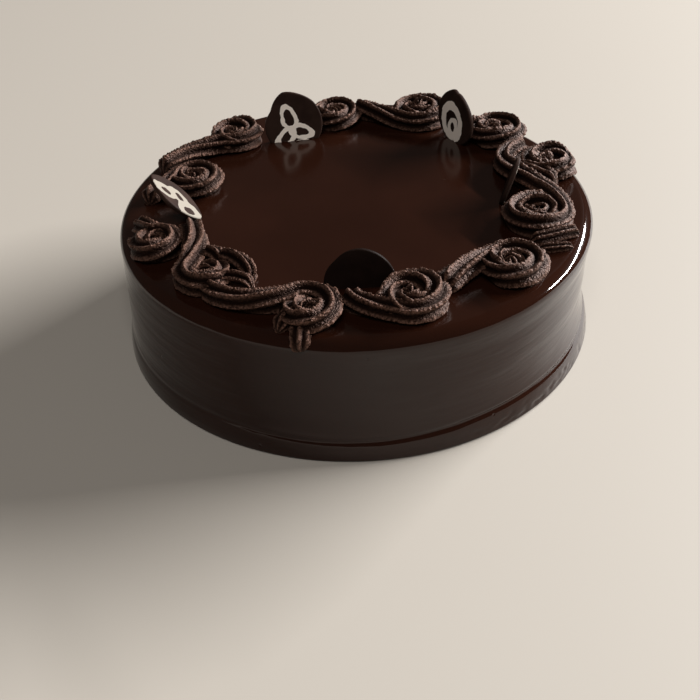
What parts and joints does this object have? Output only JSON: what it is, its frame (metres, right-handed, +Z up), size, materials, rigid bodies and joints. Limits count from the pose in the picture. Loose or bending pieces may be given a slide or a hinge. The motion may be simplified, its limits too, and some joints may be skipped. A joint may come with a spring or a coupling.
{
  "type": "chocolate fudge cake",
  "caption": "Round chocolate layer-style cake, fully glazed, with a ring of piped scrolls on its rim and thin drop-shaped chocolate plaques among them.",
  "frame": {"origin": "centre of the cake's base, on the surface it stands on", "axes": "+Z up through the cake's middle; -Y is the side that the picture shows in front, +X is to its right"},
  "size_m": [0.209, 0.209, 0.0814],
  "materials": {
    "glaze": "dark chocolate ganache, glossy and mirror-like on top",
    "piping": "matte whipped chocolate, slightly grainy",
    "plaque": null
  },
  "bodies": {
    "root": {"cake": "glaze", "scroll_1": "piping", "scroll_2": "piping", "scroll_3": "piping", "scroll_4": "piping", "scroll_5": "piping", "scroll_6": "piping", "scroll_7": "piping", "scroll_8": "piping", "scroll_9": "piping", "scroll_10": "piping", "scroll_11": "piping", "scroll_12": "piping", "stub": "piping", "plaque_1": "plaque", "plaque_2": "plaque", "plaque_3": "plaque", "plaque_4": "plaque", "plaque_5": "plaque"}
  },
  "joints": []
}
